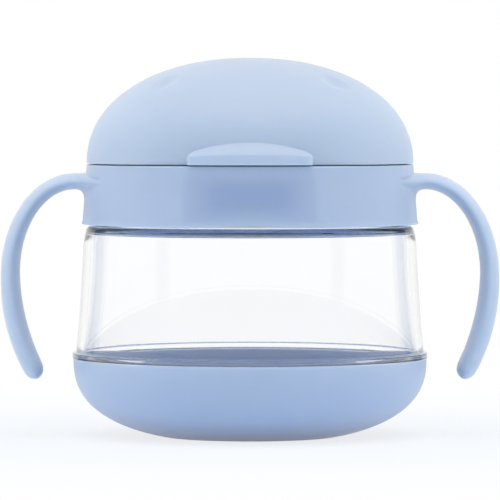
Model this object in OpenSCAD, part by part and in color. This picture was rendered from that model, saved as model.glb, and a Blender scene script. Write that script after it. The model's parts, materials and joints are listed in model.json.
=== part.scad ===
// Toddler snack container: a domed cover over a screw collar with two handles, a soft no-spill
// closure with eight flaps, a clear wall and a bowl-shaped base.
// Millimetres. +Z is up, +X points to one handle and -Y to the front, where the lift tab is.
// The origin is the centre of the foot, on the surface that the container stands on.

/* [Base bowl] */
// Outer diameter of the bowl at its rim
bowl_d = 92.6; // [91:0.1:94]
// Height of the bowl's rim above the table
bowl_h = 20.3; // [18:0.1:23]
// How much of the bowl's curve the flat foot cuts off
bowl_cut = 1.7; // [1:0.1:3]
// Fullness of the bowl's curve: 2 is an ellipse, more is squarer
bowl_fullness = 2.5; // [2.2:0.05:2.8]
// Wall thickness of the bowl
bowl_t = 2.3; // [1.8:0.1:2.6]
// Width of the ring that the bowl stands on
foot_ring_w = 5; // [3:0.1:8]
// Depth of the recess inside that ring
foot_recess = 0.7; // [0.4:0.1:1]

/* [Clear wall] */
// How far the wall's shoulder stands out past the collar's
shoulder_step = 0.8; // [0.2:0.1:2]
// Width of the flange that shows around the foot of the wall
flange_w = 0.95; // [0.6:0.05:2]
// Height of the wall from its flange to the top of its shoulder
wall_h = 33; // [28:0.1:40]
// Thickness of the wall
wall_t = 1.9; // [1.5:0.1:2.2]
// How late the wall flares: 1 is a cone, more keeps the flare near the foot
wall_flare = 1.6; // [1:0.05:2.2]
// Radius of the shoulder's rounding
shoulder_r = 1.3; // [1:0.1:2.2]
// Thickness of the flange that sits on the bowl's rim
flange_t = 1.7; // [1.2:0.1:2.2]
// Depth of the lip that plugs into the bowl
plug_depth = 3.6; // [2.5:0.1:4.5]

/* [Neck] */
// Outer diameter of the neck, between the turns of its thread
neck_d = 78.6; // [74:0.1:82]
// Height of the neck above the shoulder
neck_h = 10.4; // [10:0.1:11]
// Thickness of the soft ring on the neck's rim
neck_seal_t = 1; // [0.8:0.1:1.2]

/* [Closure] */
// Thickness of the stiff frame under the skin
frame_t = 1.4; // [1.2:0.1:1.6]
// Depth of the frame's skirt inside the neck
frame_skirt_h = 4.1; // [3:0.1:5]
// Thickness of the soft skin and its flaps
skin_t = 1.2; // [1:0.1:1.4]
// Width of the slit between two flaps
slit_w = 0.5; // [0.3:0.05:0.8]

/* [Collar] */
// Wall thickness of the collar at its shoulder
collar_t = 2.3; // [2:0.1:3]
// How much further out the collar's foot is than its shoulder
collar_flare = 1.3; // [0.5:0.05:1.5]
// Diameter of the mouth that a hand goes through
mouth_d = 66; // [58:0.1:70]
// Thickness of the deck around the mouth
deck_t = 2.2; // [1.8:0.1:2.6]
// Width of the collar's shoulder around the spigot that carries the cover
shoulder_w = 3.1; // [2.6:0.1:3.6]
// Height of the spigot above the collar's shoulder
spigot_h = 4.2; // [4:0.1:4.4]
// Wall thickness of the spigot
spigot_t = 2.4; // [2:0.1:2.8]
// Width of the shallow thumb hollow under the lift tab
scallop_w = 33; // [26:0.5:36]
// Depth of that hollow
scallop_depth = 2; // [0.6:0.1:2.2]

/* [Handles] */
// Distance over both handles
handle_span = 130.8; // [126:0.1:136]
// Thickness of a handle at its widest point
handle_t = 5; // [4.4:0.1:5.6]
// Width of a handle from front to back
handle_w = 16; // [12:0.1:20]
// Drop from the handle's top arm to its widest point
handle_drop = 24.5; // [22:0.1:27]
// Drop from the handle's widest point to the centre of its tip
handle_tail = 24.3; // [18:0.1:26]
// Radius of the tail, which curves back towards the wall
handle_tail_r = 53; // [46:1:70]

/* [Cover] */
// Height of the cover
cover_h = 27.6; // [25:0.1:31]
// Fullness of the dome's curve: 2 is an ellipse, more is squarer
cover_fullness = 2.15; // [2:0.05:2.4]
// Wall thickness of the dome
cover_t = 2.2; // [1.8:0.1:2.4]
// Thickness of the soft ring inside the cover
cover_seal_t = 1.4; // [1.2:0.1:1.6]

/* [Lift tab and dimples] */
// Width of the lift tab
tab_w = 31.6; // [24:0.1:36]
// Height of the tab at its middle
tab_h = 5.7; // [5:0.1:6.2]
// Height of the tab at its two ends
tab_end_h = 3; // [2:0.1:3.6]
// Reach of the tab past the cover's rim
tab_reach = 1.8; // [1:0.1:2.4]
// Width of the finger scoop around the tab
groove_w = 66; // [50:0.5:70]
// Depth of that scoop
groove_depth = 1.4; // [0.8:0.1:1.6]
// Depth of the two dimples near the crown
dimple_depth = 0.6; // [0.4:0.1:0.8]
// Diameter of a dimple
dimple_d = 8; // [6:0.1:9]

/* [Hidden] */
flap_count = 8;

$fn = 96;
eps = 0.01;
curve_steps = 24;       // points along each curved stretch of a turned outline

seam_gap = 0.4;         // open seam under the collar
cover_seam = 0.3;       // open seam under the cover
slide_gap = 0.3;        // round pieces that lift off or turn
thread_gap = 1.2;       // between neck and collar, for the thread
seat_gap = 0.15;        // flat faces that rest on each other
weld_gap = 0.15;        // around the plug of the clear wall

// Heights, from the table up
flange_z = bowl_h;
wall_z = flange_z + flange_t;
shoulder_z = wall_z + wall_h;
neck_z = shoulder_z + neck_h;
neck_seal_z = neck_z + seat_gap;
frame_z = neck_seal_z + neck_seal_t;
skin_z = frame_z + frame_t;
flap_axis_z = skin_z + skin_t / 2;
deck_z = skin_z + skin_t + seat_gap;
collar_foot_z = shoulder_z + seam_gap;
shoulder_over_deck = 1.75; // of the collar, over the deck's underside
collar_top_z = deck_z + shoulder_over_deck;
spigot_top_z = collar_top_z + spigot_h;
cover_z = collar_top_z + cover_seam;
cover_seal_z = spigot_top_z - cover_z + seat_gap;
cover_ledge_z = cover_seal_z + cover_seal_t;

// Radii
neck_r = neck_d / 2;
neck_bore_r = neck_r - wall_t;
collar_bore_r = neck_r + thread_gap;
collar_top_r = collar_bore_r + collar_t;
collar_foot_r = collar_top_r + collar_flare;
closure_r = collar_bore_r - slide_gap - 0.1;
snap_r = (neck_r + closure_r) / 2;
frame_skirt_r = neck_bore_r - slide_gap;
frame_skirt_t = 1.9;
spigot_r = collar_top_r - shoulder_w;
spigot_bore_r = spigot_r - spigot_t;
cover_bore_r = spigot_r + slide_gap;
seal_lip_r = spigot_bore_r - slide_gap;
seal_lip_t = 0.8;
cover_r = collar_top_r;
bowl_r = bowl_d / 2;
bowl_curve_h = bowl_h + bowl_cut;
flange_r = bowl_r + 0.25;
wall_top_r = collar_top_r + shoulder_step;
wall_bottom_r = flange_r - flange_w;

// Thumb hollow in the collar
scallop_rise = 3.1;     // from the collar's foot to the hollow's deepest point
scallop_ball_r = 36;

// Flaps
flap_half_angle = 180 / flap_count;
flap_root_gap = 0.15;
flap_tip = 3;           // from the centre of the closure to a flap's blunt tip
frame_bore_r = mouth_d / 2 - 0.5;
// The bending line's distance from the centre: a flap that hangs down stays inside the frame
flap_room_r = frame_bore_r - 0.4;
flap_slope = 1 / cos(flap_half_angle);
flap_apothem = (sqrt(pow(flap_slope * flap_room_r, 2) - pow(tan(flap_half_angle) * skin_t, 2)) - skin_t)
    / pow(flap_slope, 2);

// Handle
handle_x = handle_span / 2 - handle_t / 2;
handle_arm_x = collar_top_r + 3.2; // where the straight arm ends and the bend starts
handle_arm_z = collar_top_z - 4.4; // the arm's centre lies this far below the shoulder
handle_wide_z = handle_arm_z - handle_drop;
handle_root_x = collar_bore_r + 1;
handle_tail_angle = asin(handle_tail / handle_tail_r);
flare_len = 6;          // length of the widening at the root
ring_points = 16;

blue = [0.68, 0.77, 0.90];
clear = [0.90, 0.95, 1.00, 0.35];
soft_white = [0.92, 0.93, 0.95];
soft_blue = [0.52, 0.64, 0.82];

// One quarter of a superellipse, from its wide end [a, 0] to its top [0, b]
function quarter(a, b, n) = [
    for (i = [0:curve_steps])
        let (t = 90 * i / curve_steps)
        [a * pow(max(cos(t), 0), 2 / n), b * pow(max(sin(t), 0), 2 / n)]
];

// Radius of such a curve at height h
function quarter_r(a, b, n, h) = a * pow(1 - pow(h / b, n), 1 / n);

// An arc around [x, z], from angle t0 to t1
function arc(x, z, r, t0, t1, steps = 8) = [
    for (i = [0:steps])
        let (t = t0 + (t1 - t0) * i / steps)
        [x + r * cos(t), z + r * sin(t)]
];

function reversed(list) = [for (i = [len(list) - 1:-1:0]) list[i]];

module turned(outline) {
    rotate_extrude() polygon(outline);
}

module ring(r_in, r_out, z, h) {
    translate([0, 0, z])
    difference() {
        cylinder(r = r_out, h = h);
        translate([0, 0, -eps]) cylinder(r = r_in, h = h + 2 * eps);
    }
}

// Ring that scoops a hollow out of the front of a round wall of radius wall_r. The ring's own
// axis lies behind the wall's, so the hollow is deepest in the middle and runs out at both ends.
module front_hollow(wall_r, half_w, depth, z, ball_r) {
    sag = wall_r - sqrt(wall_r * wall_r - half_w * half_w) - depth;
    arc_r = (half_w * half_w + sag * sag) / (2 * sag);
    spread = 1.2 * asin(half_w / arc_r);
    translate([0, arc_r - wall_r + depth, z])
    rotate([0, 0, -90 - spread])
    rotate_extrude(angle = 2 * spread)
    translate([arc_r + ball_r, 0]) circle(r = ball_r, $fn = 64);
}

// Base bowl

// Outline of the bowl's outside or inside, cut off flat at height floor_z
function bowl_outline(inset, floor_z) =
    let (
        a = bowl_r - inset,
        b = bowl_curve_h - inset,
        floor_depth = bowl_h - floor_z,
        floor_r = quarter_r(a, b, bowl_fullness, floor_depth),
        side = [for (p = quarter(a, b, bowl_fullness)) if (p[1] < floor_depth - 0.3) [p[0], bowl_h - p[1]]]
    )
    concat([[0, floor_z], [floor_r, floor_z]], reversed(side), [[0, bowl_h]]);

bowl_foot_r = quarter_r(bowl_r, bowl_curve_h, bowl_fullness, bowl_h);
bowl_floor_z = foot_recess + bowl_t;

module base_bowl() {
    color(blue)
    difference() {
        turned(bowl_outline(0, 0));
        turned(concat(bowl_outline(bowl_t, bowl_floor_z), [[0, bowl_h + eps]]));
        translate([0, 0, -eps]) cylinder(r = bowl_foot_r - foot_ring_w, h = foot_recess + eps);
    }
}

// Clear wall

plug_r = quarter_r(bowl_r - bowl_t, bowl_curve_h - bowl_t, bowl_fullness, plug_depth) - weld_gap;
plug_t = 1.5;

// Radius of the wall's outside at a height above the flange
function wall_r(h) =
    let (down = max(1 - h / (wall_h - shoulder_r), 0))
    wall_top_r + (wall_bottom_r - wall_top_r) * pow(down, wall_flare);

wall_side = [
    for (i = [0:curve_steps])
        let (h = (wall_h - shoulder_r) * i / curve_steps)
        [wall_r(h), wall_z + h]
];
shoulder_curve = arc(wall_top_r - shoulder_r, shoulder_z - shoulder_r, shoulder_r, 0, 90);
wall_outside = concat(wall_side, shoulder_curve);
wall_inside = [for (p = wall_outside) if (p[1] < shoulder_z - wall_t) [p[0] - wall_t, p[1]]];

module clear_wall() {
    color(clear)
    turned(concat(
        [[plug_r - plug_t, flange_z - plug_depth], [plug_r, flange_z - plug_depth], [plug_r, flange_z]],
        [[flange_r, flange_z], [flange_r, wall_z - 0.3], [flange_r - 0.3, wall_z]],
        wall_outside,
        [[neck_r, shoulder_z], [neck_r, neck_z], [neck_bore_r, neck_z]],
        [[neck_bore_r, shoulder_z - wall_t]],
        reversed(wall_inside),
        [[plug_r - plug_t, flange_z]]
    ));
}

module neck_seal() {
    color(soft_white) ring(frame_skirt_r, neck_r, neck_seal_z, neck_seal_t);
}

// Closure

module closure_frame() {
    color(blue) {
        ring(frame_bore_r, closure_r, frame_z, frame_t);
        ring(frame_skirt_r - frame_skirt_t, frame_skirt_r, frame_z - frame_skirt_h, frame_skirt_h + eps);
    }
}

// Regular polygon with one side for each flap, given its inner radius
module flap_polygon(apothem) {
    corner_r = apothem / cos(flap_half_angle);
    polygon([
        for (i = [0:flap_count - 1])
            let (t = flap_half_angle * (2 * i + 1) - 90)
            [corner_r * cos(t), corner_r * sin(t)]
    ]);
}

module closure_skin() {
    color(soft_blue)
    translate([0, 0, skin_z])
    difference() {
        cylinder(r = closure_r, h = skin_t);
        translate([0, 0, -eps])
        linear_extrude(skin_t + 2 * eps) flap_polygon(flap_apothem + skin_t / 2 + flap_root_gap);
    }
}

// Half the width of a flap at a distance from the centre of the closure
function flap_half_w(x) = x * tan(flap_half_angle) - slit_w / 2 / cos(flap_half_angle);

module closure_flap(i) {
    root_w = flap_half_w(flap_apothem);
    color(soft_blue)
    rotate([0, 0, (i - 1) * 2 * flap_half_angle - 90])
    translate([0, 0, skin_z]) {
        linear_extrude(skin_t)
        polygon([
            [flap_apothem, -root_w], [flap_apothem, root_w],
            [flap_tip, flap_half_w(flap_tip)], [flap_tip, -flap_half_w(flap_tip)]
        ]);
        translate([flap_apothem, root_w, skin_t / 2])
        rotate([90, 0, 0])
        cylinder(r = skin_t / 2, h = 2 * root_w, $fn = 32);
    }
}

// Collar and handles

module collar_ring() {
    lip = 1.2;          // height of the plain band at the collar's foot
    turned([
        [collar_bore_r, collar_foot_z],
        [collar_foot_r - 0.5, collar_foot_z],
        [collar_foot_r, collar_foot_z + 0.5],
        [collar_foot_r - 0.05, collar_foot_z + lip],
        [collar_top_r + 0.05, collar_top_z - 1.2],
        [collar_top_r - 0.25, collar_top_z - 0.35],
        [collar_top_r - 0.9, collar_top_z],
        [spigot_r, collar_top_z],
        [spigot_r, spigot_top_z - 0.5],
        [spigot_r - 0.5, spigot_top_z],
        [spigot_bore_r, spigot_top_z],
        [spigot_bore_r, deck_z + deck_t],
        [mouth_d / 2, deck_z + deck_t],
        [mouth_d / 2, deck_z],
        [collar_bore_r, deck_z],
        [collar_bore_r, frame_z - slide_gap],
        [snap_r, frame_z - slide_gap - 0.3],
        [snap_r, frame_z - slide_gap - 0.5],
        [collar_bore_r, frame_z - slide_gap - 1.3]
    ]);
}

// The handle's centre line runs along its arm, around a quarter ellipse and down its tail.
// Each station is [x, z, direction, thickness, width].
function handle_width(z) = handle_w - 2 * pow(max(handle_wide_z - z, 0) / handle_tail, 2);

arm_t = handle_t - 0.8;
arm_stations = [
    for (i = [0:4])
        let (
            x = handle_root_x + (handle_arm_x - handle_root_x) * i / 4,
            flare = pow(max(1 - (x - handle_root_x) / flare_len, 0), 2)
        )
        [x, handle_arm_z - 1.4 * flare, 0, arm_t + 2.8 * flare, handle_w + 7 * flare]
];
bend_w = handle_x - handle_arm_x;
bend_stations = [
    for (i = [1:12])
        let (
            t = 90 - 90 * i / 12,
            x = handle_arm_x + bend_w * cos(t),
            z = handle_wide_z + handle_drop * sin(t),
            flare = pow(max(1 - (x - handle_root_x) / flare_len, 0), 2)
        )
        [
            x, z, atan2(-handle_drop * cos(t), bend_w * sin(t)),
            arm_t + (handle_t - arm_t) * pow(1 - t / 90, 1.5), handle_w + 7 * flare
        ]
];
tail_stations = [
    for (i = [1:8])
        let (
            t = handle_tail_angle * i / 8,
            z = handle_wide_z - handle_tail_r * sin(t)
        )
        [handle_x - handle_tail_r * (1 - cos(t)), z, -90 - t, handle_t + 0.5 * i / 8, handle_width(z)]
];
tip = tail_stations[7];
tip_stations = [
    for (i = [1:5])
        let (
            t = 84 * i / 5,
            out = 0.6 * tip[3] * sin(t)
        )
        [
            tip[0] + out * cos(tip[2]), tip[1] + out * sin(tip[2]), tip[2],
            tip[3] * cos(t), tip[4] - tip[3] * (1 - cos(t))
        ]
];
handle_stations = concat(arm_stations, bend_stations, tail_stations, tip_stations);

// One ring of points around a station: a rounded rectangle across the handle's direction
function station_ring(s) = [
    for (j = [0:ring_points - 1])
        let (
            t = 360 * (j + 0.5) / ring_points,
            across = s[3] / 2 * sign(sin(t)) * pow(abs(sin(t)), 0.62),
            side = s[4] / 2 * sign(cos(t)) * pow(abs(cos(t)), 0.5)
        )
        [s[0] - across * sin(s[2]), side, s[1] + across * cos(s[2])]
];

module handle() {
    last = len(handle_stations) - 1;
    points = [for (s = handle_stations) each station_ring(s)];
    sides = [
        for (i = [0:last - 1])
            for (j = [0:ring_points - 1])
                let (k = (j + 1) % ring_points, a = i * ring_points, b = a + ring_points)
                each [[a + j, b + k, a + k], [a + j, b + j, b + k]]
    ];
    start_cap = [[for (j = [0:ring_points - 1]) j]];
    end_cap = [[for (j = [ring_points - 1:-1:0]) last * ring_points + j]];
    polyhedron(points, concat(start_cap, sides, end_cap));
}

module handle_collar() {
    color(blue) {
        difference() {
            collar_ring();
            front_hollow(
                (collar_top_r + collar_foot_r) / 2,
                scallop_w / 2, scallop_depth, collar_foot_z + scallop_rise, scallop_ball_r
            );
        }
        handle();
        mirror([1, 0, 0]) handle();
    }
}

// Cover

groove_z = 3;           // from the cover's rim to the scoop's deepest point
groove_ball_r = 60;

module groove_tool() {
    front_hollow(
        quarter_r(cover_r, cover_h, cover_fullness, groove_z),
        groove_w / 2, groove_depth, groove_z, groove_ball_r
    );
}

dimple_r = cover_r - 13.8; // distance of the dimples from the cover's axis
dimple_angle = 49;      // and from its front
dimple_ball_r = (dimple_d * dimple_d / 4 + dimple_depth * dimple_depth) / (2 * dimple_depth);

module dimple_tool(grow) {
    h = quarter_r(cover_h, cover_r, cover_fullness, dimple_r);
    lean = atan2(
        pow(dimple_r / cover_r, cover_fullness - 1) / cover_r,
        pow(h / cover_h, cover_fullness - 1) / cover_h
    );
    out = dimple_ball_r - dimple_depth;
    for (side = [-1, 1])
        rotate([0, 0, side * dimple_angle - 90])
        translate([dimple_r + out * sin(lean), 0, h + out * cos(lean)])
        sphere(r = dimple_ball_r + grow);
}

module lift_tab() {
    tab_root = 6;       // how far the tab's solid reaches in behind the cover's rim
    tab_top_in = 0.6;   // its ramp ends this far inside the cover's rim
    rise = tab_h - tab_end_h;
    arc_r = (tab_w * tab_w / 4 + rise * rise) / (2 * rise);
    intersection() {
        cylinder(r1 = cover_r + tab_reach, r2 = cover_r - tab_top_in, h = tab_h);
        translate([-tab_w / 2, -2 * cover_r, 0]) cube([tab_w, cover_r + tab_root, tab_h]);
        translate([0, 0, tab_h - arc_r])
        rotate([90, 0, 0])
        cylinder(r = arc_r, h = 2 * cover_r);
    }
}

module dome_shape(inset) {
    turned(concat(
        [[0, 0]],
        quarter(cover_r - inset, cover_h - inset, cover_fullness)
    ));
}

module cover_dome() {
    color(blue)
    translate([0, 0, cover_z])
    difference() {
        union() {
            difference() {
                dome_shape(0);
                groove_tool();
                dimple_tool(0);
            }
            lift_tab();
        }
        difference() {
            dome_shape(cover_t);
            translate([0, 0, -eps]) cylinder(r = cover_r, h = cover_ledge_z + cover_t);
            dimple_tool(cover_t);
        }
        translate([0, 0, -eps]) cylinder(r = cover_bore_r, h = cover_seal_z + eps);
        translate([0, 0, -eps]) cylinder(r = seal_lip_r - seal_lip_t, h = cover_ledge_z + cover_t + 2 * eps);
        ring(seal_lip_r, cover_bore_r, cover_seal_z - eps, cover_seal_t + eps);
    }
}

module cover_seal() {
    color(soft_white)
    translate([0, 0, cover_z])
    ring(seal_lip_r, cover_bore_r, cover_seal_z, cover_seal_t);
}

cover_dome();
cover_seal();
handle_collar();
closure_frame();
closure_skin();
for (i = [1:flap_count]) closure_flap(i);
neck_seal();
clear_wall();
base_bowl();
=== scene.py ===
import json
import math
import bmesh
import bpy
from mathutils import Matrix, Vector


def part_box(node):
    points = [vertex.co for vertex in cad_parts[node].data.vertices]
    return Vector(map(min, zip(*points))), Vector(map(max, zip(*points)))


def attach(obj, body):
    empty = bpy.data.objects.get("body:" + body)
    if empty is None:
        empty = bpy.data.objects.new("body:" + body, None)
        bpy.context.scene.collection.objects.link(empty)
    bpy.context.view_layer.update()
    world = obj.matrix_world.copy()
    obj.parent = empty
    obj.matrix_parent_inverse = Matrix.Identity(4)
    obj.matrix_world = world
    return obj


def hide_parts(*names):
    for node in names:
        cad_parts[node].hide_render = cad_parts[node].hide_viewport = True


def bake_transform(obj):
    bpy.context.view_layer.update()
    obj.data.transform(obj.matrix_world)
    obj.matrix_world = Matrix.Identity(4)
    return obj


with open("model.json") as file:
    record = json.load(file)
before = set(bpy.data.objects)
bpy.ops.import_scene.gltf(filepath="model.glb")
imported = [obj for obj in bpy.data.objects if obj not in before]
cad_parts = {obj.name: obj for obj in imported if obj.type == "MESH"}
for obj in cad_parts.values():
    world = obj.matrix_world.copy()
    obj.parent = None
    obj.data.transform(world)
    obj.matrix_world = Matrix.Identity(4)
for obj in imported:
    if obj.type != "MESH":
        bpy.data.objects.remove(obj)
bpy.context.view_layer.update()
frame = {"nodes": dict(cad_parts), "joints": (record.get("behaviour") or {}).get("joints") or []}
mm = 0.001
print("frame loaded:", len(frame["nodes"]), "nodes")


# camera

shot = {"distance": 1.176, "height": 0.0855, "aimHeight": 0.0486, "lens": 323.0}


def addCamera():
    data = bpy.data.cameras.new("camera")
    data.lens = shot["lens"]
    data.sensor_width = 36
    data.clip_end = 100
    camera = bpy.data.objects.new("camera", data)
    bpy.context.collection.objects.link(camera)
    camera.location = (0, -shot["distance"], shot["height"])
    lookAt = Vector((0, 0, shot["aimHeight"])) - camera.location
    camera.rotation_euler = lookAt.to_track_quat("-Z", "Y").to_euler()
    bpy.context.scene.camera = camera


addCamera()
bpy.context.scene.view_settings.view_transform = "Standard"


# outlines: points [radius, height] in millimetres

def nodeBox(node):
    low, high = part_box(node)
    return low / mm, high / mm


def superCurve(wide, tall, fullness, steps):
    # quarter of a superellipse, from [wide, 0] to [0, tall]
    points = []
    for i in range(steps + 1):
        angle = math.pi / 2 * i / steps
        across = max(math.cos(angle), 0) ** (2 / fullness)
        up = max(math.sin(angle), 0) ** (2 / fullness)
        points.append((wide * across, tall * up))
    return points


def superRadius(wide, tall, fullness, height):
    return wide * max(1 - abs(height / tall) ** fullness, 0) ** (1 / fullness)


def rounded(corners, steps=4):
    # each corner is (x, z, radius), and a radius of 0 keeps the point as it is
    points = []
    for i, (x, z, radius) in enumerate(corners):
        here = Vector((x, z))
        if radius == 0:
            points.append((x, z))
            continue
        back = (Vector(corners[i - 1][:2]) - here).normalized()
        ahead = (Vector(corners[(i + 1) % len(corners)][:2]) - here).normalized()
        half = back.angle(ahead) / 2
        centre = here + (back + ahead).normalized() * (radius / math.sin(half))
        first = here + back * (radius / math.tan(half)) - centre
        last = here + ahead * (radius / math.tan(half)) - centre
        startAngle = math.atan2(first.y, first.x)
        turn = math.atan2(last.y, last.x) - startAngle
        turn = (turn + math.pi) % (2 * math.pi) - math.pi
        for k in range(steps + 1):
            angle = startAngle + turn * k / steps
            points.append((centre.x + radius * math.cos(angle), centre.y + radius * math.sin(angle)))
    return points


def smooth(t):
    t = min(max(t, 0), 1)
    return t * t * (3 - 2 * t)


# meshes

def turned(outline, segments=192, closed=True):
    # an outline spun about the axis; an open one starts and ends on the axis
    bm = bmesh.new()
    verts = [bm.verts.new((x * mm, 0, z * mm)) for x, z in outline]
    edges = [bm.edges.new(pair) for pair in zip(verts, verts[1:])]
    if closed:
        edges.append(bm.edges.new((verts[-1], verts[0])))
    bmesh.ops.spin(
        bm, geom=verts + edges, cent=(0, 0, 0), axis=(0, 0, 1), dvec=(0, 0, 0),
        angle=2 * math.pi, steps=segments, use_merge=True, use_duplicate=False,
    )
    bmesh.ops.remove_doubles(bm, verts=bm.verts, dist=1e-7)
    bmesh.ops.recalc_face_normals(bm, faces=bm.faces)
    return bm


def addPiece(name, bm, material, body, nodes, sharp=35):
    for edge in bm.edges:
        edge.smooth = edge.calc_face_angle(0) < math.radians(sharp)
    for face in bm.faces:
        face.smooth = True
    mesh = bpy.data.meshes.new(name)
    bm.to_mesh(mesh)
    bm.free()
    piece = bpy.data.objects.new(name, mesh)
    bpy.context.collection.objects.link(piece)
    piece.data.materials.append(material)
    if nodes:
        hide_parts(*nodes)
    if body:
        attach(piece, body)
    return piece


# materials

def startMaterial(name):
    material = bpy.data.materials.new(name)
    material.use_nodes = True
    nodes = material.node_tree.nodes
    links = material.node_tree.links
    shader = nodes["Principled BSDF"]
    place = nodes.new("ShaderNodeTexCoord")
    return material, nodes, links, shader, place.outputs["Object"]


def noise(nodes, links, place, scale, detail=3, roughness=0.5):
    texture = nodes.new("ShaderNodeTexNoise")
    texture.inputs["Scale"].default_value = scale
    texture.inputs["Detail"].default_value = detail
    texture.inputs["Roughness"].default_value = roughness
    links.new(place, texture.inputs["Vector"])
    return texture.outputs["Fac"]


def spread(nodes, links, value, low, high, fromLow=0.3, fromHigh=0.7):
    ranger = nodes.new("ShaderNodeMapRange")
    ranger.inputs["From Min"].default_value = fromLow
    ranger.inputs["From Max"].default_value = fromHigh
    ranger.inputs["To Min"].default_value = low
    ranger.inputs["To Max"].default_value = high
    links.new(value, ranger.inputs["Value"])
    return ranger.outputs["Result"]


def tones(nodes, links, value, first, second):
    ramp = nodes.new("ShaderNodeValToRGB")
    ramp.color_ramp.elements[0].position = 0.3
    ramp.color_ramp.elements[0].color = (*first, 1)
    ramp.color_ramp.elements[1].position = 0.7
    ramp.color_ramp.elements[1].color = (*second, 1)
    links.new(value, ramp.inputs["Fac"])
    return ramp.outputs["Color"]


def raised(nodes, links, height, distance, strength, under=None):
    bump = nodes.new("ShaderNodeBump")
    bump.inputs["Distance"].default_value = distance
    bump.inputs["Strength"].default_value = strength
    links.new(height, bump.inputs["Height"])
    if under:
        links.new(under, bump.inputs["Normal"])
    return bump.outputs["Normal"]


def between(nodes, links, value, start, full):
    # a smooth step from 0 at start to 1 at full
    step = spread(nodes, links, value, 0, 1, start, full)
    step.node.interpolation_type = "SMOOTHSTEP"
    return step


def mathNode(nodes, links, operation, first, second=0):
    node = nodes.new("ShaderNodeMath")
    node.operation = operation
    for socket, value in zip(node.inputs, (first, second)):
        if isinstance(value, (int, float)):
            socket.default_value = value
        else:
            links.new(value, socket)
    return node.outputs["Value"]


def toned(nodes, links, colour, mask, factor):
    # the colour times the factor where the mask is 1
    tone = nodes.new("ShaderNodeMix")
    tone.data_type = "RGBA"
    tone.blend_type = "MULTIPLY"
    links.new(mask, tone.inputs["Factor"])
    links.new(colour, tone.inputs["A"])
    tone.inputs["B"].default_value = (*factor, 1)
    return tone.outputs["Result"]


def seenRays(nodes, links):
    # 1 for the rays that show floor and sky: from the camera, through clear plastic and in reflections
    rays = nodes.new("ShaderNodeLightPath")
    straight, bent = rays.outputs["Is Camera Ray"], rays.outputs["Is Transmission Ray"]
    seen = mathNode(nodes, links, "MAXIMUM", straight, bent)
    return mathNode(nodes, links, "MAXIMUM", seen, rays.outputs["Is Glossy Ray"])


def mixShaders(nodes, links, share, first, second):
    # the surface is the first shader where the share is 0 and the second where it is 1
    blend = nodes.new("ShaderNodeMixShader")
    links.new(share, blend.inputs["Fac"])
    links.new(first, blend.inputs[1])
    links.new(second, blend.inputs[2])
    links.new(blend.outputs["Shader"], nodes["Material Output"].inputs["Surface"])


satin = {
    "colour": (0.470, 0.575, 0.750),
    "cloud": (0.455, 0.560, 0.737),
    "cloudScale": 45,
    "roughness": (0.34, 0.42),
    "rubScale": 160,
    "ior": 1.49,
    "grainSize": 0.00045,
    "grainDepth": 0.000006,
    "waveSize": 0.018,
    "waveDepth": 0.00005,
    "depth": 0.55,
    "depthRadius": (0.9, 1.0, 1.2),
    "depthScale": 0.0024,
    "coverPaintedLight": (1.09, 1.07, 1.03),  # painted light: the cover and the arms are coloured lighter, standing in for light that comes through their thin walls
    "armPaintedLight": (1.14, 1.11, 1.05),
    "paintedLightStart": 0.038,
    "paintedLightFull": 0.047,
    "paintedShadeFront": (-0.030, -0.034),  # painted shade in the thumb hollow: where each mask fades in, in metres
    "paintedShadeEdge": ((0.0180, 0.0152), (0.0694, 0.0668), (0.0560, 0.0580)),
    "paintedShadeMiddle": ((0.0166, 0.0066), (0.0703, 0.0646), (0.0562, 0.0618)),
    # painted shade: colour factors that darken the hollow's edge and its middle
    "edgePaintedShade": (0.93, 0.935, 0.97),
    "middlePaintedShade": (0.82, 0.84, 0.915),
}


def paintedShadeMask(nodes, links, reach, along, height, steps):
    mask = between(nodes, links, along, *satin["paintedShadeFront"])
    for value, start, full in ((reach, *steps[0]), (height, *steps[1]), (height, *steps[2])):
        mask = mathNode(nodes, links, "MULTIPLY", mask, between(nodes, links, value, start, full))
    return mask


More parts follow.
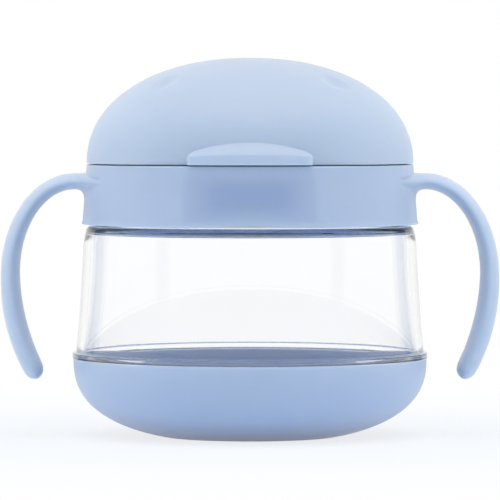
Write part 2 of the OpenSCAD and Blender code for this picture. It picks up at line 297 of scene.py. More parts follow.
def makeSatinBlue(name, lift=(1, 1, 1), withHandles=False):
    material, nodes, links, shader, place = startMaterial(name)
    cloud = noise(nodes, links, place, satin["cloudScale"], 4)
    # lift multiplies the whole colour: painted light, used to colour the cover lighter
    dull, full = ([c * k for c, k in zip(satin[tone], lift)] for tone in ("cloud", "colour"))
    colour = tones(nodes, links, cloud, dull, full)
    if withHandles:
        split = nodes.new("ShaderNodeSeparateXYZ")
        links.new(place, split.inputs[0])
        across, along, height = split.outputs
        reach = mathNode(nodes, links, "ABSOLUTE", across)
        # painted light: further out from the axis than the collar, the arms are coloured lighter
        thin = between(nodes, links, reach, satin["paintedLightStart"], satin["paintedLightFull"])
        paintedLightColour = nodes.new("ShaderNodeVectorMath")
        paintedLightColour.operation = "MULTIPLY_ADD"
        links.new(colour, paintedLightColour.inputs[0])
        paintedLightColour.inputs[1].default_value = [k - 1 for k in satin["armPaintedLight"]]
        links.new(colour, paintedLightColour.inputs[2])
        arms = nodes.new("ShaderNodeMix")
        arms.data_type = "RGBA"
        links.new(thin, arms.inputs["Factor"])
        links.new(colour, arms.inputs["A"])
        links.new(paintedLightColour.outputs["Vector"], arms.inputs["B"])
        colour = arms.outputs["Result"]
        # painted shade: the thumb hollow's colour is darkened, most of all in its middle
        wholeShade = paintedShadeMask(nodes, links, reach, along, height, satin["paintedShadeEdge"])
        middle = paintedShadeMask(nodes, links, reach, along, height, satin["paintedShadeMiddle"])
        colour = toned(nodes, links, colour, wholeShade, satin["edgePaintedShade"])
        colour = toned(nodes, links, colour, middle, satin["middlePaintedShade"])
    links.new(colour, shader.inputs["Base Color"])
    rub = noise(nodes, links, place, satin["rubScale"], 6, 0.65)
    links.new(spread(nodes, links, rub, *satin["roughness"]), shader.inputs["Roughness"])
    wave = noise(nodes, links, place, 1 / satin["waveSize"], 1)
    shrink = raised(nodes, links, wave, satin["waveDepth"], 0.5)
    grain = noise(nodes, links, place, 1 / satin["grainSize"], 2)
    links.new(raised(nodes, links, grain, satin["grainDepth"], 0.6, shrink), shader.inputs["Normal"])
    shader.inputs["IOR"].default_value = satin["ior"]
    shader.inputs["Subsurface Weight"].default_value = satin["depth"]
    shader.inputs["Subsurface Radius"].default_value = satin["depthRadius"]
    shader.inputs["Subsurface Scale"].default_value = satin["depthScale"]
    return material


clear = {
    "tint": (0.985, 0.99, 0.998),
    "tintHigh": (0.99, 0.994, 1.0),
    "through": (0.972, 0.978, 0.986),
    "roughness": (0.008, 0.03),
    "hazeScale": 120,
    "ior": 1.45,
    "waveSize": 0.02,
    "waveDepth": 0.00004,
}


def makeClearPlastic():
    material, nodes, links, shader, place = startMaterial("clearPlastic")
    haze = noise(nodes, links, place, clear["hazeScale"], 5, 0.6)
    links.new(spread(nodes, links, haze, *clear["roughness"], 0.45, 0.8), shader.inputs["Roughness"])
    tint = tones(nodes, links, haze, clear["tint"], clear["tintHigh"])
    links.new(tint, shader.inputs["Base Color"])
    wave = noise(nodes, links, place, 1 / clear["waveSize"], 1)
    links.new(raised(nodes, links, wave, clear["waveDepth"], 0.4), shader.inputs["Normal"])
    shader.inputs["Transmission Weight"].default_value = 1
    shader.inputs["IOR"].default_value = clear["ior"]
    through = nodes.new("ShaderNodeBsdfTransparent")  # light on its way to what stands inside
    through.inputs["Color"].default_value = (*clear["through"], 1)
    rays = nodes.new("ShaderNodeLightPath")
    soft = mathNode(nodes, links, "MAXIMUM", rays.outputs["Is Shadow Ray"], rays.outputs["Is Diffuse Ray"])
    mixShaders(nodes, links, soft, shader.outputs["BSDF"], through.outputs["BSDF"])
    return material


rubber = {
    "blue": (0.300, 0.430, 0.690),
    "blueCloud": (0.280, 0.405, 0.660),
    "white": (0.800, 0.810, 0.830),
    "whiteCloud": (0.760, 0.775, 0.800),
    "cloudScale": 60,
    "roughness": (0.5, 0.68),
    "dustScale": 700,
    "skinScale": 2600,
    "skinDepth": 0.000012,
    "ior": 1.41,
    "depth": 0.25,
    "depthRadius": (1.0, 1.1, 1.3),
    "depthScale": 0.0015,
    "sheen": 0.08,
}


def makeSoftRubber(name, colour, cloud):
    material, nodes, links, shader, place = startMaterial(name)
    patch = noise(nodes, links, place, rubber["cloudScale"], 4)
    links.new(tones(nodes, links, patch, cloud, colour), shader.inputs["Base Color"])
    dust = noise(nodes, links, place, rubber["dustScale"], 5, 0.7)
    links.new(spread(nodes, links, dust, *rubber["roughness"]), shader.inputs["Roughness"])
    skin = noise(nodes, links, place, rubber["skinScale"], 3)
    links.new(raised(nodes, links, skin, rubber["skinDepth"], 0.6), shader.inputs["Normal"])
    shader.inputs["IOR"].default_value = rubber["ior"]
    shader.inputs["Subsurface Weight"].default_value = rubber["depth"]
    shader.inputs["Subsurface Radius"].default_value = rubber["depthRadius"]
    shader.inputs["Subsurface Scale"].default_value = rubber["depthScale"]
    shader.inputs["Sheen Weight"].default_value = rubber["sheen"]
    return material


satinBlue = makeSatinBlue("satinBlue")
satinHandlesPaintedLightAndShade = makeSatinBlue("satinBlueHandlesPaintedLightAndShade", withHandles=True)
satinCoverPaintedLight = makeSatinBlue("satinBlueCoverPaintedLight", satin["coverPaintedLight"])
clearPlastic = makeClearPlastic()
softBlue = makeSoftRubber("softBlueRubber", rubber["blue"], rubber["blueCloud"])
softWhite = makeSoftRubber("softWhiteRubber", rubber["white"], rubber["whiteCloud"])
print("materials made")


# base bowl

bowl = {
    "cut": 1.7, "fullness": 2.5, "wall": 2.3, "footRing": 5.0, "footRound": 0.5, "recess": 0.7,
    "gate": 1.4, "gateDepth": 0.12, "weld": 0.04,
}


def makeBowl():
    high = nodeBox("base_bowl")[1]
    rimRadius, rimZ = high.x, high.z
    thick, fullness, recess = bowl["wall"], bowl["fullness"], bowl["recess"]
    depth = rimZ + bowl["cut"]
    floorZ = recess + thick
    footRadius = superRadius(rimRadius, depth, fullness, rimZ)
    outer = [(x, rimZ - z) for x, z in superCurve(rimRadius, depth, fullness, 72)]
    outer = [p for p in outer if p[1] > 0.4 and p[1] < rimZ - 0.3]
    innerFloor = rimZ - floorZ
    innerRadius = superRadius(rimRadius - thick, depth - thick, fullness, innerFloor)
    inner = superCurve(rimRadius - thick, depth - thick, fullness, 48)
    inner = [(x, rimZ - z) for x, z in inner if 0.3 < z < innerFloor - 0.5]
    ringInside = footRadius - bowl["footRing"]
    gateZ = recess + bowl["gateDepth"]
    underside = rounded([
        (0, gateZ, 0), (bowl["gate"], gateZ, 0), (bowl["gate"] + bowl["gateDepth"], recess, 0),
        (ringInside, recess, 0.3), (ringInside, 0, 0.3), (footRadius, 0, bowl["footRound"]), (*outer[-1], 0),
    ])
    weldZ = rimZ + bowl["weld"]
    rim = rounded([
        (*outer[0], 0), (rimRadius, weldZ, 0.12), (rimRadius - thick, weldZ, 0.25), (*inner[0], 0),
    ])
    inside = rounded([(*inner[-1], 0), (innerRadius, floorZ, 0.4), (0, floorZ, 0)])
    outline = underside + outer[::-1][1:] + rim[1:] + inner[1:-1] + inside
    return turned(outline, 224, closed=False)


addPiece("baseBowl", makeBowl(), satinBlue, "jar", ["base_bowl"])
print("base bowl made")


# clear wall with its flange, neck and thread

wall = {
    "topRadius": 43.6, "height": 33.0, "thickness": 1.9, "flare": 1.6, "rows": 40,
    "shoulder": 1.3, "shoulderSlab": 1.5, "turnIn": 0.6, "turnStart": 0.85, "neckRadius": 39.3,
    "flangeWidth": 0.95, "flange": 1.7, "plugDepth": 3.6, "plugThickness": 1.5, "plugGap": 0.15,
    "bowlStep": 0.25, "bowlDepth": 19.7,  # the bowl's rim inside the flange, and its depth inside
}
thread = {
    "lead": 8.0, "starts": 2, "depth": 0.85, "root": 1.9, "crest": 0.8, "embed": 0.15, "steps": 120,
    "fade": 0.06, "neckZ": 57.6, "neckTurns": 0.8, "collarZ": 58.6, "collarTurns": 0.5,
}


def makeWall():
    low, high = nodeBox("clear_wall")
    flangeRadius, neckZ = high.x, high.z
    flangeZ = low.z + wall["plugDepth"]
    wallZ = flangeZ + wall["flange"]
    shoulderZ = wallZ + wall["height"]
    bottomRadius = flangeRadius - wall["flangeWidth"]
    side = []
    straight = wall["height"] - wall["shoulder"]
    for i in range(1, wall["rows"] + 1):
        up = i / wall["rows"]
        turn = max(up - wall["turnStart"], 0) / (1 - wall["turnStart"])
        radius = wall["topRadius"] + (bottomRadius - wall["topRadius"]) * (1 - up) ** wall["flare"]
        side.append((radius - wall["turnIn"] * turn ** 2, wallZ + straight * i / wall["rows"]))
    inside = [(x - wall["thickness"], z) for x, z in side if z < shoulderZ - wall["thickness"] - 1.2]
    bowlInside = flangeRadius - wall["bowlStep"] - bowl["wall"]
    plugRadius = superRadius(bowlInside, wall["bowlDepth"], bowl["fullness"], wall["plugDepth"])
    plugRadius -= wall["plugGap"]
    plugInside = plugRadius - wall["plugThickness"]
    foot = rounded([
        (plugInside, low.z, 0.3), (plugRadius, low.z, 0.3), (plugRadius, flangeZ, 0),
        (flangeRadius, flangeZ, 0.25), (flangeRadius, wallZ, 0.45), (bottomRadius, wallZ, 0.4), (*side[0], 0),
    ])
    neck = wall["neckRadius"]
    bore = neck - wall["thickness"]
    slabZ = shoulderZ - wall["shoulderSlab"]
    top = rounded([
        (*side[-1], 0), (side[-1][0] - 0.1, shoulderZ, wall["shoulder"]), (neck, shoulderZ, 0.4),
        (neck, neckZ, 0.35), (bore, neckZ, 0.35), (bore, slabZ, 0.5), (inside[-1][0], slabZ, 1.1),
        (*inside[-1], 0),
    ], 6)
    lowInside = rounded([
        (*inside[0], 0), (inside[0][0], flangeZ + 0.4, 0.3), (plugInside, flangeZ, 0.4),
    ])
    return turned(foot + side[1:] + top[1:-1] + inside[::-1] + lowInside[1:], 256)


def addRidge(bm, baseRadius, outward, startAngle, startZ, turns):
    # one start of a thread: a trapezoid carried along a helix, fading in and out at its ends
    ring = None
    steps = int(thread["steps"] * turns)
    for i in range(steps + 1):
        share = i / steps
        angle = startAngle + 2 * math.pi * turns * share
        fade = smooth(min(share, 1 - share) * turns / thread["fade"])
        z = startZ + thread["lead"] * turns * share
        inner = baseRadius - outward * thread["embed"]
        outer = baseRadius + outward * (thread["depth"] * fade - thread["embed"] * (1 - fade))
        section = [
            (inner, z - thread["root"] / 2), (outer, z - thread["crest"] / 2),
            (outer, z + thread["crest"] / 2), (inner, z + thread["root"] / 2),
        ]
        places = [Vector((r * math.cos(angle), r * math.sin(angle), h)) * mm for r, h in section]
        if ring is None:
            ring = [bm.verts.new(place) for place in places]
            loop = [bm.edges.new((ring[k], ring[(k + 1) % 4])) for k in range(4)]
            bm.faces.new(ring)
            continue
        made = bmesh.ops.extrude_edge_only(bm, edges=loop)["geom"]
        fresh = [v for v in made if isinstance(v, bmesh.types.BMVert)]
        order = [min(fresh, key=lambda v: (v.co - old.co).length) for old in ring]
        loop = [e for e in made if isinstance(e, bmesh.types.BMEdge) and all(v in fresh for v in e.verts)]
        for vert, place in zip(order, places):
            vert.co = place
        ring = order
    bm.faces.new(ring)


def makeThread(baseRadius, outward, startZ, turns):
    bm = bmesh.new()
    for start in range(thread["starts"]):
        addRidge(bm, baseRadius, outward, 2 * math.pi * start / thread["starts"], startZ, turns)
    bmesh.ops.recalc_face_normals(bm, faces=bm.faces)
    return bm


addPiece("clearWall", makeWall(), clearPlastic, "jar", ["clear_wall"])
ridges = makeThread(wall["neckRadius"], 1, thread["neckZ"], thread["neckTurns"])
addPiece("neckThread", ridges, clearPlastic, "jar", [])
print("clear wall made")


# collar with its two handles

collar = {
    "footZ": 55.4, "topZ": 71.05, "bore": 40.5, "snap": 39.7, "topRadius": 42.8, "footFlare": 1.12,
    "footRound": 0.42, "footLip": 0.28, "lipHeight": 1.4, "mouth": 33.0, "deck": 2.2, "deckGap": 0.15,
    "frameFlange": 1.4, "shoulderWidth": 3.1, "spigotWall": 2.4, "spigotHeight": 4.2, "segments": 144,
    "rootHalfWidth": 19.6, "rootRows": (61.8, 63.1, 64.4, 65.6, 66.8, 67.9, 68.9),
}
hollow = {
    "halfWidth": 17.6, "depth": 2.7, "top": 70.3, "deepest": 57.0, "edge": 0.1, "lift": 1.1, "outside": 41.9,
}
handle = {
    "thickness": 5.0, "armThickness": 4.2, "width": 16.0, "armX": 46.0, "armZ": 66.65, "drop": 24.5,
    "tail": 24.3, "tailRadius": 53.0, "squareness": 2.0, "tipGrowth": 0.5, "tipNarrowing": 2.0,
    "tipReach": 0.6, "tipDegrees": (18, 36, 52, 66, 78), "bendSteps": 20, "tailSteps": 12,
    "rootX": 36, "rootRadius": 42.2, "rootPoint": 0.12, "rootSteps": (0, 0.2, 0.38, 0.55, 0.7, 0.85, 1),
}


def collarRadius(z):
    low, top = collar["footZ"], collar["topZ"]
    lip = collar["footLip"] * max(1 - (z - low) / collar["lipHeight"], 0) ** 1.5
    return collar["topRadius"] + collar["footFlare"] * (top - z) / (top - low) + lip


def makeCollarRing():
    footZ, topZ, topRadius = collar["footZ"], collar["topZ"], collar["topRadius"]
    bore, mouth, snap = collar["bore"], collar["mouth"], collar["snap"]
    deckZ = nodeBox("closure_skin")[1].z + collar["deckGap"]
    deckTop = deckZ + collar["deck"]
    flangeZ = nodeBox("closure_frame")[1].z - collar["frameFlange"]
    spigot = topRadius - collar["shoulderWidth"]
    spigotTop = topZ + collar["spigotHeight"]
    spigotBore = spigot - collar["spigotWall"]
    foot = []
    for degrees in (-90, -60, -30, 0):
        angle = math.radians(degrees)
        across = collarRadius(footZ) - collar["footRound"] * (1 - math.cos(angle))
        foot.append((across, footZ + collar["footRound"] * (1 + math.sin(angle))))
    rows = (55.8, 56.0, 56.3, 56.8, 57.4, 58.3, 59.4, 60.3, 61.0, *collar["rootRows"], 69.2, 69.8)
    outline = [
        (bore + 0.35, footZ), (bore + 1.4, footZ), *foot,
        *[(collarRadius(z), z) for z in rows],
        (topRadius + 0.04, topZ - 0.4), (topRadius - 0.01, topZ - 0.14), (topRadius - 0.1, topZ - 0.035),
        (topRadius - 0.3, topZ), (topRadius - 1.7, topZ),
        # spigot that the cover sits on
        (spigot + 0.6, topZ), (spigot + 0.12, topZ + 0.04), (spigot, topZ + 0.3), (spigot, topZ + 1.6),
        (spigot + 0.14, topZ + 2.1), (spigot, topZ + 2.6), (spigot, spigotTop - 0.6),
        (spigot - 0.1, spigotTop - 0.2), (spigot - 0.5, spigotTop), (spigotBore + 0.5, spigotTop),
        (spigotBore + 0.1, spigotTop - 0.1), (spigotBore, spigotTop - 0.5),
        # deck around the mouth
        (spigotBore, deckTop + 0.7), (spigotBore - 0.2, deckTop + 0.15), (spigotBore - 0.8, deckTop),
        (mouth + 0.9, deckTop), (mouth + 0.25, deckTop - 0.2), (mouth, deckTop - 0.8),
        (mouth, deckZ + 0.4), (mouth + 0.1, deckZ + 0.05), (mouth + 0.5, deckZ),
        (bore - 0.3, deckZ), (bore, deckZ - 0.05), (bore, deckZ - 0.4),
        # bead that holds the frame, and the bore down to the foot
        (bore, flangeZ - 0.1), (snap + 0.1, flangeZ - 0.45), (snap, flangeZ - 0.7),
        (snap + 0.15, flangeZ - 1.0), (bore, flangeZ - 1.7), (bore, flangeZ - 2.4),
        (bore, 60.0), (bore, footZ + 0.8), (bore + 0.06, footZ + 0.2),
    ]
    return turned(outline, collar["segments"])


def handleStations():
    # (x, z, direction, thickness, width) along the centre line: bend, tail, rounded tip
    stations = []
    full, arm = handle["thickness"], handle["armThickness"]
    wideZ = handle["armZ"] - handle["drop"]
    wideX = nodeBox("handle_collar")[1].x - full / 2
    bendWidth = wideX - handle["armX"]
    for i in range(1, handle["bendSteps"] + 1):
        share = i / handle["bendSteps"]
        angle = math.pi / 2 * (1 - share)
        direction = math.atan2(-handle["drop"] * math.cos(angle), bendWidth * math.sin(angle))
        x = handle["armX"] + bendWidth * math.cos(angle)
        z = wideZ + handle["drop"] * math.sin(angle)
        stations.append((x, z, direction, arm + (full - arm) * share ** 1.5, handle["width"]))
    tailAngle = math.asin(handle["tail"] / handle["tailRadius"])
    for i in range(1, handle["tailSteps"] + 1):
        share = i / handle["tailSteps"]
        angle = tailAngle * i / handle["tailSteps"]
        x = wideX - handle["tailRadius"] * (1 - math.cos(angle))
        z = wideZ - handle["tailRadius"] * math.sin(angle)
        thickness = full + handle["tipGrowth"] * math.sin(0.8 * math.pi * i / handle["tailSteps"])
        width = handle["width"] - handle["tipNarrowing"] * share ** 2
        stations.append((x, z, -math.pi / 2 - angle, thickness, width))
    tipX, tipZ, direction, thickness, width = stations[-1]
    for degrees in handle["tipDegrees"]:
        angle = math.radians(degrees)
        out = handle["tipReach"] * thickness * math.sin(angle)
        x = tipX + out * math.cos(direction)
        z = tipZ + out * math.sin(direction)
        narrowed = width - thickness * (1 - math.cos(angle))
        stations.append((x, z, direction, thickness * math.cos(angle), narrowed))
    return stations


def sectionPlace(station, u, v, side):
    # where grid place (u, v) lies on a station's oval section
    x, z, direction, thickness, width = station
    power = handle["squareness"]
    reach = (abs(u) ** power + abs(v) ** power) ** (1 / power)
    scale = max(abs(u), abs(v)) / reach if reach > 0 else 0
    across = v * scale * thickness / 2
    return Vector((
        side * (x - across * math.sin(direction)), u * scale * width / 2, z + across * math.cos(direction)
    ))


def onCollar(y, z, side):
    return Vector((side * math.sqrt(collarRadius(z) ** 2 - y ** 2), y, z))


def carryFaces(bm, faces, patch, placeOf):
    # extrudes the faces once and sets each new vertex where its grid place belongs
    made = bmesh.ops.extrude_face_region(bm, geom=faces)["geom"]
    bmesh.ops.delete(bm, geom=[face for face in faces if face.is_valid], context="FACES_ONLY")
    fresh = [v for v in made if isinstance(v, bmesh.types.BMVert)]
    below = {tuple(round(c, 7) for c in old.co): uv for old, uv in patch.items() if old.is_valid}
    patch = {vert: below[tuple(round(c, 7) for c in vert.co)] for vert in fresh}
    for vert, (u, v) in patch.items():
        vert.co = placeOf(u, v) * mm
    return [f for f in made if isinstance(f, bmesh.types.BMFace)], patch


def growHandle(bm, side):
    # the collar's root faces swell out along curves into the arm, then follow the stations
    lowZ, highZ = collar["rootRows"][0], collar["rootRows"][-1]

    def isRoot(face):
        middle = face.calc_center_median() / mm
        outside = middle.x * side > handle["rootX"] and math.hypot(middle.x, middle.y) > handle["rootRadius"]
        return outside and abs(middle.y) < collar["rootHalfWidth"] and lowZ < middle.z < highZ

    faces = [face for face in bm.faces if isRoot(face)]
    widest = max(abs(v.co.y) for face in faces for v in face.verts) / mm
    middleZ, halfZ = (lowZ + highZ) / 2, (highZ - lowZ) / 2
    patch = {}
    for vert in {v for face in faces for v in face.verts}:
        patch[vert] = (vert.co.y / mm / widest, (vert.co.z / mm - middleZ) / halfZ)
    armEnd = (handle["armX"], handle["armZ"], 0, handle["armThickness"], handle["width"])

    def rootPlace(u, v):
        # the root narrows to a point towards the front and the back
        pinch = handle["rootPoint"] + (1 - handle["rootPoint"]) * (1 - abs(u) ** 1.5) ** 0.8
        restZ = handle["armZ"] + (middleZ - handle["armZ"]) * pinch
        return onCollar(u * widest, restZ + v * halfZ * pinch, side)

    def curvePlace(t):
        def place(u, v):
            first, last = rootPlace(u, v), sectionPlace(armEnd, u, v, side)
            bend = onCollar(last.y, last.z, side)
            return first * (1 - t) ** 2 + bend * (2 * t * (1 - t)) + last * t ** 2
        return place

    for t in handle["rootSteps"]:
        faces, patch = carryFaces(bm, faces, patch, curvePlace(t))
    for station in handleStations():
        faces, patch = carryFaces(bm, faces, patch, lambda u, v: sectionPlace(station, u, v, side))
    loose = [v for v in bm.verts if not v.link_faces]
    bmesh.ops.delete(bm, geom=loose, context="VERTS")


def subdivided(bm, levels):
    # the mesh after Catmull-Clark subdivision
    mesh = bpy.data.meshes.new("cage")
    bm.to_mesh(mesh)
    bm.free()
    cage = bpy.data.objects.new("cage", mesh)
    bpy.context.collection.objects.link(cage)
    rounder = cage.modifiers.new("rounder", "SUBSURF")
    rounder.levels = levels
    rounder.render_levels = levels
    bpy.context.view_layer.update()
    evaluated = cage.evaluated_get(bpy.context.evaluated_depsgraph_get())
    done = bmesh.new()
    done.from_mesh(bpy.data.meshes.new_from_object(evaluated))
    bpy.data.objects.remove(cage)
    return done


def pressThumbHollow(bm):
    # deepens from the collar's top edge down to a line just above its foot
    for vert in bm.verts:
        x, y, z = vert.co / mm
        radius = math.hypot(x, y)
        if y > 0 or radius < hollow["outside"] or abs(x) > hollow["halfWidth"] or z > hollow["top"]:
            continue
        across = 1 - (x / hollow["halfWidth"]) ** 2
        across *= smooth(across / hollow["edge"])
        down = (hollow["top"] - z) / (hollow["top"] - hollow["deepest"])
        depth = hollow["depth"] * across * (0.12 * min(down, 1) + 0.88 * smooth(down))
        depth -= hollow["lift"] * across * max((hollow["deepest"] - z) / 2, 0) ** 2
        vert.co.x *= (radius - depth) / radius
        vert.co.y *= (radius - depth) / radius


def makeHandleCollar():
    bm = makeCollarRing()
    growHandle(bm, 1)
    growHandle(bm, -1)
    bmesh.ops.recalc_face_normals(bm, faces=bm.faces)
    bm = subdivided(bm, 1)
    pressThumbHollow(bm)
    return bm


addPiece("handleCollar", makeHandleCollar(), satinHandlesPaintedLightAndShade, "collar", ["handle_collar"], 60)
ridges = makeThread(collar["bore"], -1, thread["collarZ"], thread["collarTurns"])
addPiece("collarThread", ridges, satinBlue, "collar", [])
print("handle collar made")


# closure: stiff frame, soft skin, eight soft flaps, and the neck's seal

closure = {
    "flaps": 8, "skirt": 1.9, "skirtGap": 0.3, "frameInset": 0.5, "rootGap": 0.15, "skinBlend": 4,
    "flapTip": 2.6, "slit": 0.5, "tipThickness": 0.75, "taperShare": 0.7, "flapEdge": 0.28, "flapCuts": 20,
    "bendOutside": 0.5, "bendInside": 1.2,
}


def skirtRadius():
    return wall["neckRadius"] - wall["thickness"] - closure["skirtGap"]


def makeClosureFrame():
    low, high = nodeBox("closure_frame")
    flangeZ = high.z - collar["frameFlange"]
    frameBore = collar["mouth"] - closure["frameInset"]
    skirt = skirtRadius()
    skirtInside = skirt - closure["skirt"]
    outline = rounded([
        (frameBore, flangeZ, 0.4), (frameBore, high.z, 0.15), (high.x, high.z, 0.15), (high.x, flangeZ, 0.3),
        (skirt, flangeZ, 0.15), (skirt, low.z, 0.5), (skirtInside, low.z, 0.4), (skirtInside, flangeZ, 0.3),
    ])
    return turned(outline, 192)


def flapApothem():
    hinge = next(j for j in frame["joints"] if j["name"] == "flap_1_bend")
    return math.hypot(hinge["pos_m"][0], hinge["pos_m"][1]) / mm


def makeClosureSkin():
    low, high = nodeBox("closure_skin")
    thickness = high.z - low.z
    holeRadius = flapApothem() + thickness / 2 + closure["rootGap"]
    outline = rounded([
        (holeRadius, low.z, 0.15), (holeRadius, high.z, 0.35), (high.x, high.z, 0.3), (high.x, low.z, 0.1),
    ])
    bm = turned(outline, 192)
    sector = 2 * math.pi / closure["flaps"]
    for vert in bm.verts:
        radius = math.hypot(vert.co.x, vert.co.y) / mm
        share = max(1 - (radius - holeRadius) / closure["skinBlend"], 0)
        if share == 0:
            continue
        angle = math.atan2(vert.co.y, vert.co.x) + math.pi / 2
        away = (angle + sector / 2) % sector - sector / 2
        stretch = 1 + (1 / math.cos(away) - 1) * min(share * 4 / 3, 1)
        vert.co.x *= stretch
        vert.co.y *= stretch
    return bm


def makeFlap(index):
    # a soft wedge that tapers towards the middle, pointing to -Y before it is turned to its place
    low, high = nodeBox("closure_skin")
    thickness = high.z - low.z
    apothem = flapApothem()
    halfSector = math.pi / closure["flaps"]
    edge = closure["slit"] / 2 / math.cos(halfSector)
    tip, root = closure["flapTip"], apothem + thickness / 2
    bm = bmesh.new()
    verts = []
    for side, out in ((-1, root), (1, root), (1, tip), (-1, tip)):
        halfWidth = min(out, apothem) * math.tan(halfSector) - edge
        verts.append(bm.verts.new((side * halfWidth * mm, -out * mm, low.z * mm)))
    face = bm.faces.new(verts)
    made = bmesh.ops.extrude_face_region(bm, geom=[face])["geom"]
    lifted = [v for v in made if isinstance(v, bmesh.types.BMVert)]
    bmesh.ops.translate(bm, verts=lifted, vec=(0, 0, thickness * mm))
    for i in range(1, closure["flapCuts"]):
        y = -(tip + (root - tip) * i / closure["flapCuts"]) * mm
        bmesh.ops.bisect_plane(
            bm, geom=bm.verts[:] + bm.edges[:] + bm.faces[:], plane_co=(0, y, 0), plane_no=(0, 1, 0),
        )
    bmesh.ops.recalc_face_normals(bm, faces=bm.faces)
    crease = [e for e in bm.edges if e.calc_face_angle(0) > math.radians(30)]
    bmesh.ops.bevel(
        bm, geom=crease, offset=closure["flapEdge"] * mm, segments=3, profile=0.5, affect="EDGES",
        material=-1,
    )
    middle = (low.z + high.z) / 2 * mm
    thin = closure["tipThickness"] / thickness
    for vert in bm.verts:
        share = (-vert.co.y / mm - tip) / (root - tip)
        taper = thin + (1 - thin) * smooth(share / closure["taperShare"])
        vert.co.z = middle + (vert.co.z - middle) * taper
    turn = Matrix.Rotation(2 * math.pi / closure["flaps"] * index, 3, "Z")
    bmesh.ops.rotate(bm, verts=bm.verts, cent=(0, 0, 0), matrix=turn)
    return bm


def addFlap(index):
    node = "closure_flap_%d" % (index + 1)
    piece = addPiece("softFlap%d" % (index + 1), makeFlap(index), softBlue, None, [node])
    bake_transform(piece)


def makeSeal(node, inside, soft):
    low, high = nodeBox(node)
    outline = rounded([
        (inside, low.z, soft), (high.x, low.z, soft), (high.x, high.z, soft), (inside, high.z, soft),
    ])
    return turned(outline, 160)


addPiece("closureFrame", makeClosureFrame(), satinBlue, "closure", ["closure_frame"])
addPiece("closureSkin", makeClosureSkin(), softBlue, "closure", ["closure_skin"])
for number in range(closure["flaps"]):
    addFlap(number)
seal = makeSeal("neck_seal", skirtRadius(), 0.3)
addPiece("neckSeal", seal, softWhite, "closure", ["neck_seal"])
print("closure made")


# cover: dome with a finger groove, a lift tab and two dimples

cover = {
    "fullness": 2.15, "wall": 2.2, "rimRound": 0.18, "seat": 0.01, "bore": 40.0,
    "lipRadius": 37.0, "lipWall": 0.8,
}
tab = {
    "half": 15.8, "middle": 5.7, "end": 3.0, "reach": 1.75, "topReach": -0.6, "endSoft": 1.6,
    "endRound": 1.6, "endFade": 12, "lipLine": 2.1, "lineDepth": 0.06, "lineWidth": 0.35,
}
scoop = {"flatHalf": 15.0, "half": 33.0, "slope": 0.155, "top": 13.0, "fade": 6.0, "spare": 3}
dimple = {"distance": 29.0, "angle": 49.0, "radius": 4.7, "depth": 0.95}


def coverSize():
    low, high = nodeBox("cover_dome")
    return high.x, high.z - low.z, low.z


def makeCoverTurning():
    wide, tall, rimZ = coverSize()
    sealLow, sealHigh = nodeBox("cover_seal")
    ledge, groove = sealHigh.z - rimZ, sealLow.z - rimZ
    thick, fullness, seat = cover["wall"], cover["fullness"], cover["seat"]
    fine = [(superRadius(wide, tall, fullness, 0.25 * i), 0.25 * i) for i in range(4, 60)]
    outer = fine + [p for p in superCurve(wide, tall, fullness, 110) if p[1] > fine[-1][1] + 0.15]
    innerZ = ledge + thick
    inner = [p for p in superCurve(wide - thick, tall - thick, fullness, 60) if p[1] > innerZ + 0.6]
    innerEdge = superRadius(wide - thick, tall - thick, fullness, innerZ)
    lipInside = cover["lipRadius"] - cover["lipWall"]
    below = rounded([
        (*inner[0], 0), (innerEdge, innerZ, 0.3), (lipInside, innerZ, 0.4), (lipInside, groove, 0.3),
        (cover["lipRadius"], groove, 0.2), (cover["lipRadius"], ledge, 0), (cover["bore"], ledge, 0),
        (cover["bore"], -seat, 0.3), (wide, -seat, cover["rimRound"]), (*outer[0], 0),
    ])
    outline = inner[::-1] + below[1:-1] + outer
    return turned([(x, z + rimZ) for x, z in outline], 360, closed=False)


def tabTopAt(x):
    inside = min(abs(x) / tab["half"], 1)
    arc = tab["end"] + (tab["middle"] - tab["end"]) * (1 - inside ** 2)
    corner = min(max(abs(x) - tab["half"] + tab["endRound"], 0) / tab["endRound"], 1)
    arc -= 0.8 * tab["endRound"] * (1 - math.sqrt(1 - corner ** 2))
    beyond = smooth((abs(x) - tab["half"]) / tab["endFade"])
    return arc + (tab["middle"] - arc) * beyond


def scoopAt(x, height):
    across = 1 - smooth((abs(x) - scoop["flatHalf"]) / (scoop["half"] - scoop["flatHalf"]))
    below = max(scoop["top"] - height, 0)
    if below < scoop["fade"]:
        return across * scoop["slope"] * below ** 2 / (2 * scoop["fade"])
    return across * scoop["slope"] * (below - scoop["fade"] / 2)


def tabReachAt(height, top):
    down = (top - height) / (top - tab["lipLine"])
    reach = tab["topReach"] + (tab["reach"] - tab["topReach"]) * smooth(0.2 + 0.8 * min(down, 1))
    return reach - tab["lineDepth"] * math.exp(-((height - tab["lipLine"]) / tab["lineWidth"]) ** 2)


def shapeCoverFront(bm):
    # the scoop presses the dome's front in, and the tab stands out of it
    wide, tall, rimZ = coverSize()
    limit = scoop["top"] + scoop["spare"]
    for vert in bm.verts:
        x, y, z = vert.co / mm
        height = z - rimZ
        radius = math.hypot(x, y)
        if y > 0 or height > limit or abs(x) > scoop["half"] + 1:
            continue
        inset = superRadius(wide, tall, cover["fullness"], max(height, 0)) - radius
        if inset > 0.05 and not (height < 0.9 and inset < 0.65):  # neither the outside nor the rim
            continue
        top = tabTopAt(x)
        slide = smooth(min(height / tab["middle"], (limit - height) / 10))
        height += (top - tab["middle"]) * slide
        push = -scoopAt(x, height)
        onTab = smooth((tab["half"] + tab["endSoft"] / 2 - abs(x)) / tab["endSoft"])
        if height < top - 0.01:
            push += onTab * (tabReachAt(height, top) - push)
        newRadius = superRadius(wide, tall, cover["fullness"], max(height, 0)) - inset + push
        vert.co.x *= newRadius / radius
        vert.co.y *= newRadius / radius
        vert.co.z = (rimZ + height) * mm


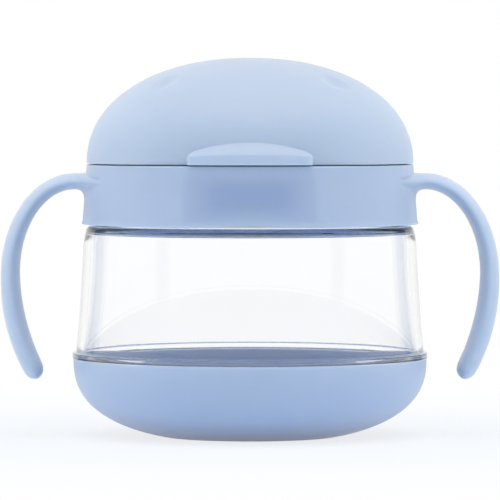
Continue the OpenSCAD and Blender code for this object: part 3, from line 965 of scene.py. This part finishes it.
def pressDimples(bm):
    wide, tall, rimZ = coverSize()
    height = superRadius(tall, wide, cover["fullness"], dimple["distance"])
    lean = math.atan2(
        (dimple["distance"] / wide) ** (cover["fullness"] - 1) / wide,
        (height / tall) ** (cover["fullness"] - 1) / tall,
    )
    for side in (-1, 1):
        angle = math.radians(side * dimple["angle"] - 90)
        around = Vector((math.cos(angle), math.sin(angle), 0))
        centre = (around * dimple["distance"] + Vector((0, 0, rimZ + height))) * mm
        inward = -(around * math.sin(lean) + Vector((0, 0, math.cos(lean))))
        for vert in bm.verts:
            away = (vert.co - centre).length / mm / dimple["radius"]
            if away < 1:
                vert.co += inward * dimple["depth"] * (1 - away ** 2) ** 2 * mm


def makeCover():
    bm = makeCoverTurning()
    shapeCoverFront(bm)
    pressDimples(bm)
    return bm


addPiece("coverDome", makeCover(), satinCoverPaintedLight, "cover", ["cover_dome"])
seal = makeSeal("cover_seal", cover["lipRadius"], 0.35)
addPiece("coverSeal", seal, softWhite, "cover", ["cover_seal"])
print("cover made")


# floor and studio light

studio = {
    "floorRadius": 6.0, "floorColour": (0.76, 0.87, 1), "floorRoughness": 0.7,
    "floorWhite": 0.78, "shadowReach": 0.09, "shadowFade": 0.2,  # how white the floor shows, near and far
    "round": 0.620, "up": -1.42, "zenith": 3.708, "sides": 1.972, "front": 0.881,
    "frontCentre": -1.466, "frontSides": -0.99, "frontSky": 1.396, "sideSky": -2.14,
}


def makeFloor():
    bm = bmesh.new()
    bmesh.ops.create_circle(bm, cap_ends=True, radius=studio["floorRadius"], segments=96)
    mesh = bpy.data.meshes.new("floor")
    bm.to_mesh(mesh)
    bm.free()
    floor = bpy.data.objects.new("floor", mesh)
    bpy.context.collection.objects.link(floor)
    material, nodes, links, shader, place = startMaterial("paleFloor")
    shader.inputs["Base Color"].default_value = (*studio["floorColour"], 1)
    shader.inputs["Roughness"].default_value = studio["floorRoughness"]
    glow = nodes.new("ShaderNodeEmission")
    glow.inputs["Color"].default_value = (1, 1, 1, 1)
    length = nodes.new("ShaderNodeVectorMath")
    length.operation = "LENGTH"
    links.new(place, length.inputs[0])
    white = spread(
        nodes, links, length.outputs["Value"], studio["floorWhite"], 1,
        studio["shadowReach"], studio["shadowFade"],
    )
    share = mathNode(nodes, links, "MULTIPLY", white, seenRays(nodes, links))
    mixShaders(nodes, links, share, shader.outputs["BSDF"], glow.outputs["Emission"])
    mesh.materials.append(material)


def makeWorld():
    # a pale tent: bright from above and from both sides, darker low in front
    world = bpy.data.worlds.new("studio")
    bpy.context.scene.world = world
    world.use_nodes = True
    nodes = world.node_tree.nodes
    links = world.node_tree.links
    back = nodes["Background"]
    back.inputs["Color"].default_value = (1, 1, 1, 1)

    def step(operation, first, second=0):
        return mathNode(nodes, links, operation, first, second)

    place = nodes.new("ShaderNodeTexCoord")
    split = nodes.new("ShaderNodeSeparateXYZ")
    links.new(place.outputs["Generated"], split.inputs[0])
    x, y, z = split.outputs
    up = step("MAXIMUM", z, 0)
    ahead = step("MAXIMUM", step("MULTIPLY", y, -1), 0)
    aside = step("ABSOLUTE", x)
    shapes = {
        "up": up,
        "zenith": step("POWER", up, 4),
        "sides": step("MULTIPLY", x, x),
        "front": ahead,
        "frontCentre": step("POWER", ahead, 4),
        "frontSides": step("MULTIPLY", aside, ahead),
        "frontSky": step("MULTIPLY", up, ahead),
        "sideSky": step("MULTIPLY", up, aside),
    }
    light = studio["round"]
    for name, shape in shapes.items():
        light = step("ADD", light, step("MULTIPLY", shape, studio[name]))
    light = step("MAXIMUM", light, 0)
    seen = seenRays(nodes, links)  # these rays see plain white
    unseen = step("SUBTRACT", 1, seen)
    links.new(step("ADD", seen, step("MULTIPLY", unseen, light)), back.inputs["Strength"])


makeFloor()
makeWorld()
print("studio made")
